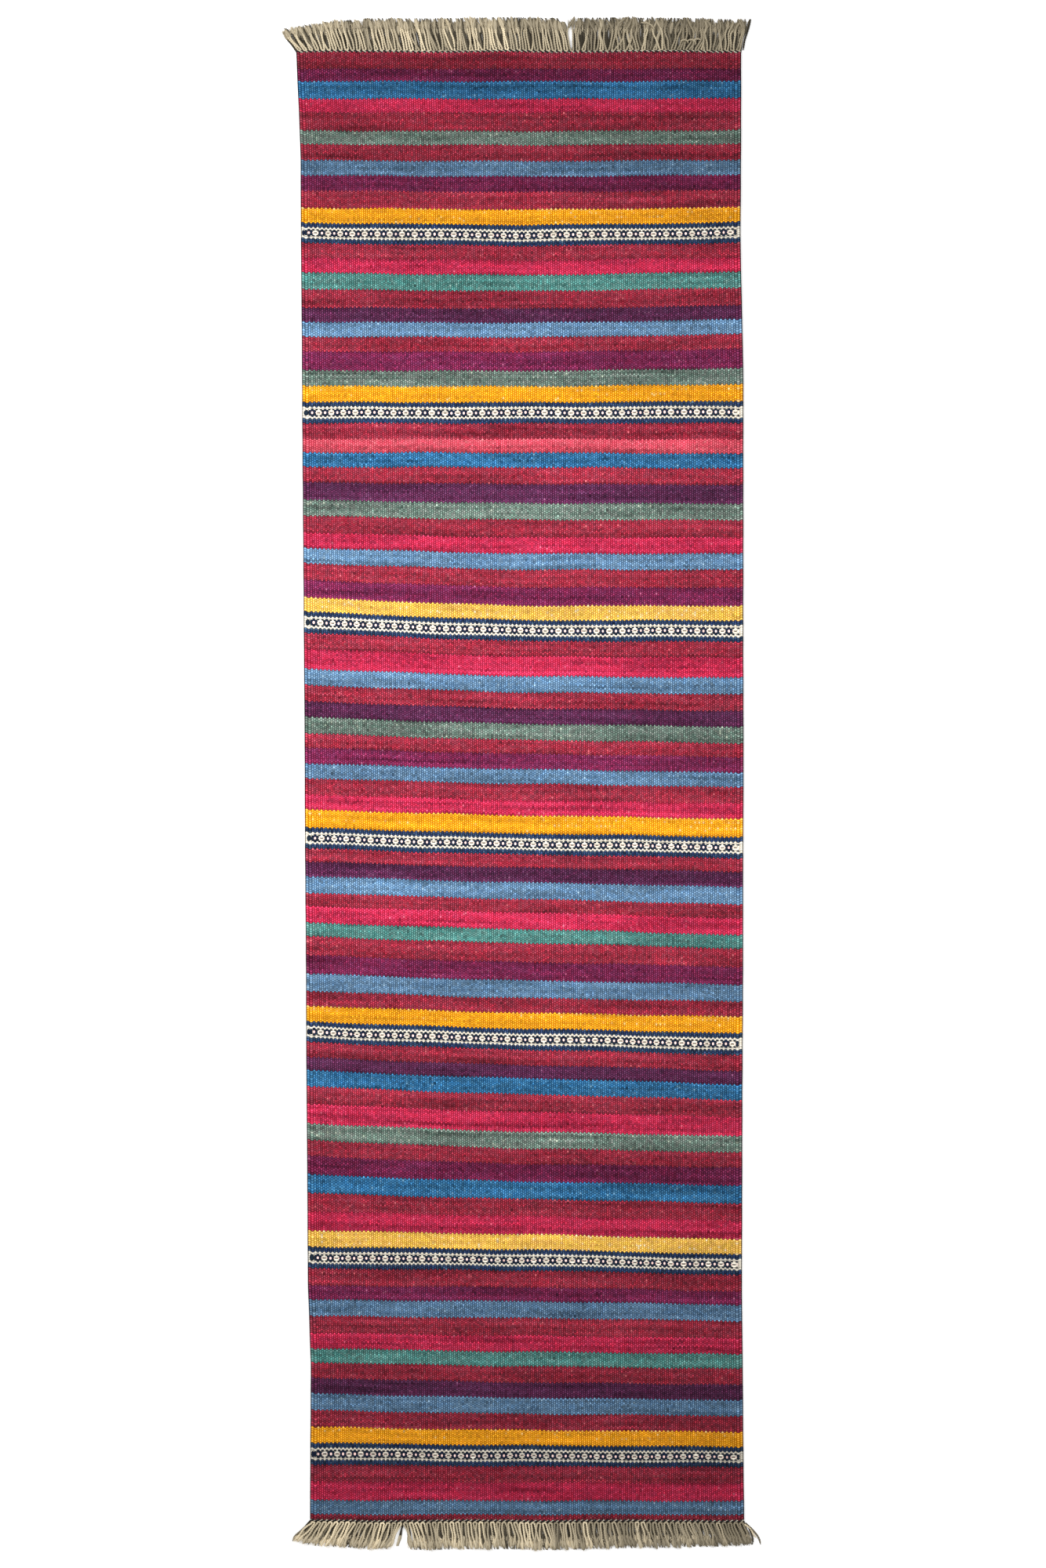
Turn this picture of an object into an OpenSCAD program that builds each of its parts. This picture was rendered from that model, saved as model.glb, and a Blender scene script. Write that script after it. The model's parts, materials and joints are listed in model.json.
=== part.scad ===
// Flat-woven runner rug: striped weft-faced cloth, seven patterned bands, twined ends and a tassel fringe.
// +X runs across the width, +Y along the length, +Z up. The origin is on the underside, mid cloth.

/* [Cloth] */
// Thickness of the woven cloth
cloth_t = 3.6; // [3.4:0.1:4.4]
// Number of warp cords that run the whole length
warp_count = 203; // [180:1:206]
// Width and height of one warp cord
warp_size = 1.8; // [1.4:0.1:1.8]
// Number of thick cords along each side edge
selvedge_count = 4; // [3:1:4]
// Play around the warp cords inside the weft
warp_play = 0.1; // [0.05:0.05:0.2]

/* [Patterned bands] */
// Width of each of the two navy borders
border_w = 6.5; // [4:0.5:7]
// Width of each of the two ivory zigzag rows
zigzag_w = 3.5; // [3:0.5:5]
// Width of the row of diamond figures
figure_w = 8.5; // [8:0.5:12]

/* [Ends] */
// Width of one twined end strand
twine_w = 2; // [1.5:0.1:2.5]
// Number of tassels at each end
tassel_count = 75; // [60:1:77]
// Width of a tassel
tassel_w = 5.4; // [4:0.1:5.5]
// Thickness of a tassel
tassel_t = 2.8; // [2:0.1:3.4]
// Length of the tassels at the +Y end
tassel_len_top = 44; // [35:1:55]
// Length of the tassels at the -Y end
tassel_len_bottom = 37; // [30:1:50]

/* [Hidden] */
// Seven sections of plain bands from +Y to -Y, each ending in a patterned band, and a plain tail.
// A letter is a weft yarn and the number under it is its band's width.
plan = [
    ["MPBRMGMLPMY",  [23, 17, 24, 19, 25, 19, 22, 21, 21, 24, 21]],
    ["MRTMDLMPGY",   [20, 20, 22, 24, 19, 20, 20, 26, 21, 22]],
    ["MCBMDGMRLMPS", [21, 19, 20, 23, 26, 23, 24, 22, 22, 24, 25, 20]],
    ["MRLMDGMPLMRY", [21, 27, 22, 22, 21, 22, 19, 21, 20, 22, 21, 25]],
    ["MDLMRTMPLMY",  [18, 20, 23, 18, 23, 19, 26, 25, 24, 20, 22]],
    ["MDBMRGMPBMRS", [21, 18, 22, 24, 27, 23, 21, 24, 24, 23, 25, 21]],
    ["MPLMRTMDLMY",  [23, 19, 23, 24, 22, 20, 22, 21, 22, 22, 21]],
    ["MRLM",         [22, 25, 19, 7]]
];
sections = len(plan);
patterned = sections - 1;

madder = [0.52, 0.13, 0.20];
navy = [0.13, 0.17, 0.34];
ivory = [0.94, 0.88, 0.78];
wool = [0.74, 0.70, 0.62];
// Each yarn that is not madder or gold: letter, node name and colour
dyed = [
    ["R", "raspberry_weft", [0.75, 0.16, 0.30]],
    ["C", "coral_weft", [0.86, 0.32, 0.40]],
    ["P", "plum_weft", [0.42, 0.12, 0.28]],
    ["D", "aubergine_weft", [0.33, 0.15, 0.30]],
    ["B", "blue_weft", [0.16, 0.38, 0.60]],
    ["L", "light_blue_weft", [0.40, 0.55, 0.70]],
    ["T", "teal_weft", [0.34, 0.54, 0.52]],
    ["G", "sage_weft", [0.46, 0.53, 0.49]]
];
golds = [["Y", [0.93, 0.62, 0.12]], ["S", [0.94, 0.76, 0.36]]];

function total(v, n) = n <= 0 ? 0 : v[n - 1] + total(v, n - 1);
pattern_w = 2 * border_w + 2 * zigzag_w + figure_w;
section_len = [for (s = [0 : sections - 1])
    total(plan[s][1], len(plan[s][1])) + (s < patterned ? pattern_w : 0)];
cloth_len = total(section_len, sections);
half_len = cloth_len / 2;

// Side edges: the cloth narrows a little from +Y to -Y. Each pair is [y, x].
left_edge = [[-1003, -292], [-800, -291], [-680, -295], [-40, -299], [860, -305], [1003, -311]];
right_edge = [[-1003, 301], [-680, 298], [0, 300], [550, 300], [740, 296], [1003, 297]];
// How far a band's edge stands above its place at mid width, at the left and right side: [y, rise]
left_lean = [[-1003, 0], [-820, 7], [-700, 2], [-640, 4], [-500, 12], [-320, 10], [0, 8],
    [230, 12], [380, 5], [440, 0], [620, 1], [720, 4], [860, 1], [1003, 0]];
right_lean = [[-1003, 0], [-850, -3], [-740, -4], [-620, -8], [-520, -5], [-400, -9], [-290, -5],
    [-180, -9], [-90, -5], [60, -5], [220, 0], [370, 0], [450, -2], [560, 4], [690, 5], [800, 3], [1003, 0]];
// Lean of the tassels from straight out, in degrees towards +X, along the width: [x, angle]
top_lean = [[-311, -36], [-290, -26], [-260, -16], [0, -9], [150, 0], [297, 7]];
bottom_lean = [[-292, -42], [-270, -30], [-200, -18], [-167, -14], [-159, 4], [0, 8], [150, 10], [301, 22]];
// Length of the tassels as a share of the full length, along the width: [x, share]
top_reach = [[-311, 0.79], [-270, 0.86], [-200, 1], [100, 1], [297, 0.95]];
bottom_reach = [[-292, 0.93], [-250, 1], [60, 1], [301, 0.88]];

side_steps = 12;      // straight runs that make up one wavy band edge
wave = 0.5;           // height of the small wave along every band edge
tunnel_inset = 1.4;   // weft left outside the outermost selvedge cord
tunnel_h = warp_size + 2 * warp_play;
selvedge_pitch = warp_size + 0.2;
selvedge_w = selvedge_count * selvedge_pitch;

function left(y) = lookup(y, left_edge);
function right(y) = lookup(y, right_edge);
function rise(x, y) = pow(abs(x) / 300, 1.2) * lookup(y, x < 0 ? left_lean : right_lean)
    + wave * sin(1.7 * x + 2.3 * y);
// One edge line of a band whose place at mid width is y, from left to right
function edge_line(y) = [for (i = [0 : side_steps])
    let (x = left(y) + (right(y) - left(y)) * i / side_steps) [x, y + rise(x, y)]];
function reversed(v) = [for (i = [len(v) - 1 : -1 : 0]) v[i]];
// Distance from the +Y end of the cloth to the start of section s, and to band b in it
function section_start(s) = total(section_len, s);
function band_start(s, b) = section_start(s) + total(plan[s][1], b);
function pattern_start(s) = band_start(s, len(plan[s][1]));
function colour_of(letter, table) = [for (row = table) if (row[0] == letter) row[1]][0];

// Space inside the weft that holds the warp and selvedge cords
module tunnel() {
    translate([0, 0, (cloth_t - tunnel_h) / 2])
        linear_extrude(tunnel_h)
            polygon(concat(
                [for (p = left_edge) [p[1] + tunnel_inset, 1.01 * p[0]]],
                reversed([for (p = right_edge) [p[1] - tunnel_inset, 1.01 * p[0]]])));
}

// A sleeve of weft around the warps, from depth d to depth d + w below the +Y end
module weft_sleeve(d, w) {
    difference() {
        linear_extrude(cloth_t)
            polygon(concat(edge_line(half_len - d), reversed(edge_line(half_len - d - w))));
        tunnel();
    }
}

// Every band of one yarn between two sections
module bands_of(letter, first, last) {
    for (s = [first : last])
        for (b = [0 : len(plan[s][1]) - 1])
            if (plan[s][0][b] == letter) weft_sleeve(band_start(s, b), plan[s][1][b]);
}

// A cord inside the cloth: a fraction u of the way across the warp field, plus a fixed offset
module inner_cord(u, offset_x) {
    stations = [-half_len, -800, -680, -40, 860, half_len];
    line = [for (y = stations) [
        left(y) + tunnel_inset + selvedge_w
            + (right(y) - left(y) - 2 * tunnel_inset - 2 * selvedge_w) * u + offset_x, y]];
    translate([0, 0, (cloth_t - warp_size) / 2])
        linear_extrude(warp_size)
            polygon(concat(
                [for (p = line) [p[0] - warp_size / 2, p[1]]],
                reversed([for (p = line) [p[0] + warp_size / 2, p[1]]])));
}

module warps() {
    color(ivory)
        for (i = [0.5 : warp_count - 0.5]) inner_cord(i / warp_count, 0);
}

module selvedge_cords() {
    color(ivory)
        for (i = [0.5 : selvedge_count - 0.5]) {
            inner_cord(0, -i * selvedge_pitch);
            inner_cord(1, i * selvedge_pitch);
        }
}

module madder_weft(s) {
    color(madder) bands_of("M", s - 1, s - 1);
}

module dyed_weft(yarn) {
    color(yarn[2]) bands_of(yarn[0], 0, patterned);
}

module gold_weft(s) {
    last = len(plan[s - 1][1]) - 1;
    color(colour_of(plan[s - 1][0][last], golds))
        weft_sleeve(band_start(s - 1, last), plan[s - 1][1][last]);
}

module pattern_border(s) {
    start = pattern_start(s - 1);
    color(navy) {
        weft_sleeve(start, border_w);
        weft_sleeve(start + pattern_w - border_w, border_w);
    }
}

module pattern_zigzag(s) {
    start = pattern_start(s - 1) + border_w;
    color(ivory) {
        weft_sleeve(start, zigzag_w);
        weft_sleeve(start + zigzag_w + figure_w, zigzag_w);
    }
}

module pattern_figure(s) {
    color([0.55, 0.52, 0.58])
        weft_sleeve(pattern_start(s - 1) + border_w + zigzag_w, figure_w);
}

// One twined strand that closes an end: side is 1 at +Y and -1 at -Y, lane 0 lies against the cloth
module twining(side, lane) {
    line = edge_line(side * half_len);
    near = side * lane * twine_w;
    far = side * (lane + 1) * twine_w;
    linear_extrude(cloth_t)
        polygon(concat(
            [for (p = line) [p[0], p[1] + near]],
            reversed([for (p = line) [p[0], p[1] + far]])));
}

// Twisted and brushed warp ends that lie flat beyond the twining
module tassels(side, length, lean, reach) {
    y = side * half_len;
    for (i = [0.5 : tassel_count - 0.5]) {
        x = left(y) + (right(y) - left(y)) * i / tassel_count;
        base_y = y + rise(x, y) + side * 2 * twine_w;
        foot = wave / 2;
        tip = length * lookup(x, reach);
        shift = tip * sin(lookup(x, lean));
        out = tip * cos(lookup(x, lean));
        linear_extrude(tassel_t)
            polygon([
                [x - tassel_w / 2, base_y + side * foot],
                [x + tassel_w / 2, base_y + side * foot],
                [x + shift + tassel_w / 2, base_y + side * out],
                [x + shift - tassel_w / 2, base_y + side * out]]);
    }
}

warps();
selvedge_cords();
for (s = [1 : sections])
    madder_weft(s);
for (yarn = dyed)
    dyed_weft(yarn);
for (s = [1 : patterned]) {
    gold_weft(s);
    pattern_border(s);
    pattern_zigzag(s);
    pattern_figure(s);
}
color(navy) twining(1, 0);  // twining_dark_top
color(navy) twining(-1, 0);  // twining_dark_bottom
color(ivory) twining(1, 1);  // twining_ivory_top
color(ivory) twining(-1, 1);  // twining_ivory_bottom
color(wool) tassels(1, tassel_len_top, top_lean, top_reach);  // fringe_top
color(wool) tassels(-1, tassel_len_bottom, bottom_lean, bottom_reach);  // fringe_bottom
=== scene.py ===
"""A striped flat-woven runner rug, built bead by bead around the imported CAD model.

A bead is one float of weft yarn over one warp cord, so the cloth is ribbed along its length. Neighbouring
warps show alternate picks, which staggers their beads and gives every band of colour a toothed edge.
"""
import json
import math

import bpy
import numpy as np
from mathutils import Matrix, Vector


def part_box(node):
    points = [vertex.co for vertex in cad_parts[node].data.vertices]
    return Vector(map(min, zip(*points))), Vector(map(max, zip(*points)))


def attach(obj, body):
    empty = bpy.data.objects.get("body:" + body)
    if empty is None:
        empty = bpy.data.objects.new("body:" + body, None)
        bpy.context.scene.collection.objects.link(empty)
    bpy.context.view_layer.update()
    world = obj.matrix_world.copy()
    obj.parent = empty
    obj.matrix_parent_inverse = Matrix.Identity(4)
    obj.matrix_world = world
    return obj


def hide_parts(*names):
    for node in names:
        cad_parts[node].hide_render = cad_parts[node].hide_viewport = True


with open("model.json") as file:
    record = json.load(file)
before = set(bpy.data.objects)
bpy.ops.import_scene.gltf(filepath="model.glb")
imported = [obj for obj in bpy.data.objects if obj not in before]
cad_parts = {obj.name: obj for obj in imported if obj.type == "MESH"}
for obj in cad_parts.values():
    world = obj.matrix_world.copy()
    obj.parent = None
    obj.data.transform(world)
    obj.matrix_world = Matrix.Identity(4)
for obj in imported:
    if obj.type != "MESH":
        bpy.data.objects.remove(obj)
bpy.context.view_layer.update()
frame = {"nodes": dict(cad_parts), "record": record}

MM = 0.001
dice = np.random.default_rng(20)

# The weave
BEAD = 3.16 * MM                # height of one bead along its warp
STAGGER = 0.35 * BEAD           # how far the beads of even and odd warps stand off the row's line
GROOVE = 0.85 * MM              # depth of the groove between two warps
DIP = 0.4 * MM                  # depth of the gap between two beads
SEAM = 0.03 * MM                # each band's own half of the gap between two bands
EDGE_RIBS = 2                   # wide ribs along each side edge
RIB_CELLS = 3                   # mesh cells across a rib
BEAD_JITTER = 0.16 * MM         # how far beads stand off their rows, as a standard deviation
CREST_JITTER = 0.06 * MM        # the same for their height
SELVEDGE_PAINTED_SHADE = 0.3            # painted shade on the outermost edge: how dark it is beside the rest
CAP_PAINTED_SHADE = 0.6                 # painted shade on a band's hidden edges, where it meets the next band: how dark they are beside its beads
BACK_U = 1000                   # keeps the back's beads apart from the front's in the weave map
FLOAT_V = 5000                  # keeps the floats apart from the cloth in it

# The patterned bands, in warps and in beads from the middle of a figure
REPEAT = 6
RING = [(0, -1.25), (0, 1.25), (-1.05, -0.6), (-1.05, 0.6), (1.05, -0.6), (1.05, 0.6)]

# Ends
TWIST_LENGTH = 7.9 * MM         # one full turn of the two twined strands
STRAND = 3.0 * MM               # thickness of a two-ply fringe strand
PLY_TURN = 6.5 * MM             # one full turn of its plies
BRUSHED = 12 * MM               # untwisted, brushed end of a strand
HAIRS = 44                      # fibres in each brushed end


# ---------------------------------------------------------------- reading the frame
def solids(node):
    """The separate solids of a CAD node, each as an array of its corner points."""
    mesh = frame["nodes"][node].data
    points = np.array([v.co for v in mesh.vertices])
    corners, index = np.unique(points.round(6), axis=0, return_inverse=True)
    index = index.reshape(-1)
    owner = list(range(len(corners)))

    def root(i):
        while owner[i] != i:
            owner[i] = owner[owner[i]]
            i = owner[i]
        return i

    for face in mesh.polygons:
        first = root(index[face.vertices[0]])
        for v in face.vertices:
            owner[root(index[v])] = first
    roots = np.array([root(i) for i in range(len(corners))])
    return [corners[roots == r] for r in np.unique(roots)]


def edge_stations(solid):
    """The upper and lower edge of a band, as stations (x, y) from left to right."""
    top = solid[solid[:, 2] > solid[:, 2].max() - 1e-5]
    pairs = top[np.argsort(top[:, 0])].reshape(-1, 2, 3)
    pick = np.arange(len(pairs))
    upper = pairs[pick, pairs[:, :, 1].argmax(axis=1), :2]
    lower = pairs[pick, pairs[:, :, 1].argmin(axis=1), :2]
    return upper, lower


def curve_through(stations):
    """A smooth y(x) through stations."""
    x, y = stations[:, 0], stations[:, 1]
    slope = np.gradient(y, x)

    def at(q):
        q = np.clip(q, x[0], x[-1])
        i = np.clip(np.searchsorted(x, q) - 1, 0, len(x) - 2)
        span = x[i + 1] - x[i]
        t = (q - x[i]) / span
        start = (1 + 2 * t) * (1 - t) ** 2 * y[i] + t * (1 - t) ** 2 * span * slope[i]
        end = t * t * (3 - 2 * t) * y[i + 1] + t * t * (t - 1) * span * slope[i + 1]
        return start + end

    return at


cloth_nodes = [n for n in frame["nodes"] if "_weft" in n or n.startswith("pattern_")]
bands = {n: [edge_stations(s) for s in solids(n)] for n in cloth_nodes}
low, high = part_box("madder_weft_1")
THICK = high.z - low.z
MID = (high.z + low.z) / 2
all_edges = [e for pair_list in bands.values() for pair in pair_list for e in pair]
all_edges.sort(key=lambda e: e[len(e) // 2, 1])
CLOTH_TOP = all_edges[-1]
CLOTH_BOTTOM = all_edges[0]

warp_lines = sorted(solids("warps"), key=lambda s: s[:, 0].mean())
WARPS = len(warp_lines)
RIBS = WARPS + 2 * EDGE_RIBS


def x_at_end(solid):
    """Middle of a warp cord at the -Y end."""
    return solid[solid[:, 1] < solid[:, 1].min() + 1e-5][:, 0].mean()


warp_pitch = (x_at_end(warp_lines[-1]) - x_at_end(warp_lines[0])) / (WARPS - 1)
SELVEDGE = x_at_end(warp_lines[0]) - warp_pitch / 2 - CLOTH_BOTTOM[0, 0]


# ---------------------------------------------------------------- hand-made unevenness
def waves(x, y, seed, longest, count=5):
    """Smooth noise from -1 to 1 over the cloth, as a sum of crossing waves."""
    own = np.random.default_rng(seed)
    total = np.zeros(np.broadcast(x, y).shape)
    for k in range(count):
        turn = own.uniform(0, math.pi)
        length = longest / 1.5 ** k
        phase = own.uniform(0, 2 * math.pi)
        total += np.sin((x * math.cos(turn) + y * math.sin(turn)) * 2 * math.pi / length + phase) / 1.3 ** k
    return total / 2.5


def settle(points):
    """Hand weaving's small drift in x and y, and the slight rise and fall of cloth on a floor."""
    x, y = points[:, 0], points[:, 1]
    moved = points.copy()
    moved[:, 0] += 0.3 * MM * waves(x, y, 3, 0.25)
    moved[:, 1] += 0.35 * MM * waves(x, y, 4, 0.12)
    moved[:, 2] += 0.35 * MM * (1 + waves(x, y, 5, 0.5, 3))
    return moved


def tone_along_rug(y):
    """Brightness along the rug: deepest at both ends, brightest around its upper middle."""
    middle = 0.15
    reach = np.where(y > middle, 0.88, 1.18)
    power = np.where(y > middle, 2.6, 1.8)
    return 1 - 0.3 * (np.abs(y - middle) / reach) ** power


STREAK = 0.07                   # usual length of a streak along the weft


def streaks(rows, x):
    """Smooth streaks along the weft, one line of them for each row of beads."""
    knots = np.arange(-0.4, 0.4, STREAK)
    values = dice.normal(0, 1, (rows, len(knots)))
    lot = np.zeros(len(knots))
    shift = dice.uniform(0, STREAK, rows)
    lines = []
    for r in range(rows):
        lot = 0.3 * lot + 0.75 * values[r] + 0.6 * dice.normal()
        lines.append(np.interp(x[r] + shift[r], knots, lot))
    return np.array(lines)


# ---------------------------------------------------------------- materials
def linear(*srgb):
    """An sRGB colour, 0 to 255, as a linear RGBA tuple."""
    scaled = [c / 255 for c in srgb]
    return tuple(c / 12.92 if c < 0.04045 else ((c + 0.055) / 1.055) ** 2.4 for c in scaled) + (1,)


def add(tree, kind, links=(), **settings):
    """Adds a node, sets its properties, and fills its inputs from values or other sockets."""
    node = tree.nodes.new(kind)
    for key, value in settings.items():
        setattr(node, key, value)
    for name, value in dict(links).items():
        if isinstance(value, bpy.types.NodeSocket):
            tree.links.new(value, node.inputs[name])
        else:
            node.inputs[name].default_value = value
    return node


def maths(tree, operation, a, b=0.0, c=0.0):
    """One sum of numbers or sockets."""
    return add(tree, "ShaderNodeMath", {0: a, 1: b, 2: c}, operation=operation).outputs[0]


def blended(tree, factor, a, b, mode="MIX"):
    """Colour mix of a and b."""
    node = tree.nodes.new("ShaderNodeMix")
    node.data_type = "RGBA"
    node.blend_type = mode
    for name, value in (("Factor_Float", factor), ("A_Color", a), ("B_Color", b)):
        socket = next(s for s in node.inputs if s.identifier == name)
        if isinstance(value, bpy.types.NodeSocket):
            tree.links.new(value, socket)
        else:
            socket.default_value = value
    return next(s for s in node.outputs if s.identifier == "Result_Color")


FIBRE_SCALE = (900, 2600, 2000)         # fibres for each metre in x, y and z
RELIEF = 0.5                            # strength of the beads' and fibres' fine relief


def wool(name, colour, cast, fleck, shade):
    """Spun wool: its colour drifts from bead to bead, a painted highlight pales it toward the fleck colour on
    crests, and painted shade darkens and deepens it in the gaps.
    """
    material = bpy.data.materials.new(name)
    material.use_nodes = True
    tree = material.node_tree
    shader = tree.nodes["Principled BSDF"]
    weave = add(tree, "ShaderNodeUVMap", uv_map="weave").outputs[0]
    own_bead = add(tree, "ShaderNodeVectorMath", {0: weave}, operation="FLOOR").outputs[0]
    in_bead = add(tree, "ShaderNodeVectorMath", {0: weave}, operation="FRACTION").outputs[0]
    bead_noise = add(tree, "ShaderNodeTexWhiteNoise", {"Vector": own_bead}, noise_dimensions="2D")
    chance = bead_noise.outputs["Value"]
    place = add(tree, "ShaderNodeSeparateXYZ", {0: in_bead})
    across = maths(tree, "SINE", maths(tree, "MULTIPLY", place.outputs["X"], math.pi))
    along = maths(tree, "SINE", maths(tree, "MULTIPLY", place.outputs["Y"], math.pi))
    dome = maths(tree, "SQRT", maths(tree, "MULTIPLY", across, along))
    ground = add(tree, "ShaderNodeTexCoord").outputs["Object"]
    stretched = add(tree, "ShaderNodeMapping", {"Vector": ground, "Scale": FIBRE_SCALE}).outputs[0]
    fibre_noise = {"Vector": stretched, "Scale": 1.0, "Detail": 3.0}
    fibres = add(tree, "ShaderNodeTexNoise", fibre_noise).outputs["Fac"]
    patch_noise = {"Vector": ground, "Scale": 24.0, "Detail": 4.0}
    patches = add(tree, "ShaderNodeTexNoise", patch_noise).outputs["Fac"]
    drift = maths(tree, "MULTIPLY_ADD", patches, 0.8, -0.4)
    towards = add(tree, "ShaderNodeClamp", {0: maths(tree, "ADD", chance, drift)}).outputs[0]
    dyed = blended(tree, towards, colour, cast)
    flecks = add(tree, "ShaderNodeAttribute", attribute_name="fleck").outputs["Fac"]
    # painted highlight: the crest of each bead pales toward the fleck colour
    crest = add(tree, "ShaderNodeMapRange", {0: dome, 1: 0.8, 2: 1.0, 3: 0.0, 4: 0.22}).outputs[0]
    flecked = blended(tree, maths(tree, "MAXIMUM", flecks, crest), dyed, fleck)
    tone = add(tree, "ShaderNodeAttribute", attribute_name="tone").outputs["Fac"]
    grain = add(tree, "ShaderNodeMapRange", {0: fibres, 1: 0.25, 2: 0.75, 3: 0.75, 4: 1.22}).outputs[0]
    # painted shade: in the gaps round each bead the colour is multiplied by itself, so it grows darker and
    # richer
    painted_shade_depth = add(tree, "ShaderNodeMapRange", {0: dome, 1: 0.2, 2: 0.8, 3: 0.9 * (1 - shade), 4: 0.0}).outputs[0]
    with_painted_gap_shade = blended(tree, painted_shade_depth, flecked, flecked, "MULTIPLY")
    # painted shade and painted highlight: brightness runs from the gap shade round a bead up to 1.28 on its
    # crest
    gap = add(tree, "ShaderNodeMapRange", {0: dome, 1: 0.1, 2: 0.9, 3: shade, 4: 1.28}).outputs[0]
    light = maths(tree, "MULTIPLY", maths(tree, "MULTIPLY", tone, grain), gap)
    lit = add(tree, "ShaderNodeVectorMath", {0: with_painted_gap_shade, "Scale": light}, operation="SCALE").outputs[0]
    tree.links.new(lit, shader.inputs["Base Color"])
    height = maths(tree, "MULTIPLY_ADD", fibres, 0.35, dome)
    bump = add(tree, "ShaderNodeBump", {"Height": height, "Strength": RELIEF, "Distance": 0.4 * MM})
    tree.links.new(bump.outputs[0], shader.inputs["Normal"])
    shader.inputs["Roughness"].default_value = 0.95
    shader.inputs["Specular IOR Level"].default_value = 0.08
    shader.inputs["Sheen Weight"].default_value = 0.03
    shader.inputs["Sheen Roughness"].default_value = 0.5
    return material


# slot: (colour, what it drifts to, fleck colour, which also tints the painted highlight on crests, bead
# unevenness, streak strength, share of flecked beads)
YARNS = {
    "ivory_warp": ((226, 214, 190), (236, 224, 200), (250, 244, 230), 0.05, 0.0, 0.0),
    "madder_yarn": ((180, 44, 68), (156, 60, 80), (222, 116, 124), 0.09, 0.09, 0.03),
    "raspberry_yarn": ((220, 44, 84), (204, 56, 96), (244, 130, 156), 0.08, 0.1, 0.02),
    "coral_yarn": ((228, 76, 100), (216, 96, 112), (250, 160, 160), 0.08, 0.09, 0.02),
    "plum_yarn": ((138, 36, 80), (126, 48, 92), (186, 106, 140), 0.09, 0.1, 0.025),
    "aubergine_yarn": ((102, 40, 80), (96, 52, 88), (156, 100, 136), 0.09, 0.09, 0.025),
    "blue_yarn": ((50, 124, 178), (68, 130, 172), (140, 186, 210), 0.1, 0.1, 0.03),
    "light_blue_yarn": ((106, 148, 188), (116, 148, 176), (176, 204, 222), 0.09, 0.08, 0.03),
    "teal_yarn": ((84, 156, 150), (108, 152, 146), (170, 206, 196), 0.09, 0.085, 0.03),
    "sage_yarn": ((114, 142, 130), (128, 136, 130), (196, 208, 186), 0.1, 0.11, 0.04),
    "gold_yarn": ((255, 180, 4), (255, 172, 16), (255, 232, 170), 0.06, 0.055, 0.02),
    "straw_yarn": ((250, 204, 74), (250, 196, 96), (255, 244, 214), 0.06, 0.055, 0.06),
    "navy_yarn": ((42, 60, 106), (56, 76, 102), (96, 128, 150), 0.12, 0.03, 0.03),
    "ivory_yarn": ((250, 244, 230), (248, 238, 218), (255, 252, 244), 0.03, 0.01, 0.0),
    "pink_yarn": ((254, 222, 216), (248, 206, 198), (255, 230, 226), 0.06, 0.0, 0.0),
    "dark_twine": ((30, 28, 32), (44, 40, 42), (110, 110, 110), 0.1, 0.0, 0.0),
    "ivory_twine": ((250, 240, 218), (244, 230, 204), (255, 250, 240), 0.05, 0.0, 0.0),
    "fringe_wool": ((224, 209, 176), (210, 193, 158), (246, 240, 226), 0.06, 0.0, 0.0),
}
# How light the gaps round a bead stay under their painted shade
PAINTED_GAP_SHADE = 0.35
# yarns whose gaps stay lighter under the painted shade
PAINTED_SHADE_BY_YARN = {
    "ivory_yarn": 0.6,
    "ivory_twine": 0.7,
    "pink_yarn": 0.7,
    "fringe_wool": 0.48,
    "dark_twine": 0.6,
}
materials = {
    slot: wool(slot, *[linear(*colour) for colour in y[:3]], shade=PAINTED_SHADE_BY_YARN.get(slot, PAINTED_GAP_SHADE))
    for slot, y in YARNS.items()
}


# ---------------------------------------------------------------- meshes
class Soup:
    """Collects quads and triangles with their weave map and tones, and turns them into one piece."""

    def __init__(self):
        self.points, self.faces, self.uvs, self.tones = [], [], [], []
        self.count = 0

    def add(self, points, faces, uv, tone=1.0, fleck=0.0):
        """faces index points, uv has a pair for each point, and tone and fleck may have one for each face."""
        points = np.asarray(points, float)
        faces = np.asarray(faces, int)
        self.points.append(points)
        self.faces.append(faces + self.count)
        self.uvs.append(np.asarray(uv, float)[faces.reshape(-1)])
        row = np.empty((len(faces), 2))
        row[:, 0], row[:, 1] = tone, fleck
        self.tones.append(row)
        self.count += len(points)

    def piece(self, name, slot, *nodes):
        """Makes the Blender object, which rides on the rug's one body, and hides these CAD nodes in its
        place.
        """
        mesh = bpy.data.meshes.new(name)
        points = settle(np.vstack(self.points))
        sizes = np.concatenate([np.full(len(f), f.shape[1]) for f in self.faces])
        corners = np.concatenate([f.reshape(-1) for f in self.faces])
        mesh.vertices.add(len(points))
        mesh.vertices.foreach_set("co", points.astype(np.float32).reshape(-1))
        mesh.loops.add(len(corners))
        mesh.loops.foreach_set("vertex_index", corners.astype(np.int32))
        mesh.polygons.add(len(sizes))
        mesh.polygons.foreach_set("loop_start", (np.cumsum(sizes) - sizes).astype(np.int32))
        weave_layer = mesh.uv_layers.new(name="weave")
        weave_layer.data.foreach_set("uv", np.vstack(self.uvs).astype(np.float32).reshape(-1))
        tones = np.vstack(self.tones)
        for k, label in enumerate(("tone", "fleck")):
            layer = mesh.attributes.new(label, "FLOAT", "FACE")
            layer.data.foreach_set("value", tones[:, k].astype(np.float32))
        mesh.update(calc_edges=True)
        mesh.shade_smooth()
        mesh.materials.append(materials[slot])
        piece = bpy.data.objects.new(name, mesh)
        bpy.context.scene.collection.objects.link(piece)
        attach(piece, "root")
        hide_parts(*nodes)
        return piece


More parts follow.
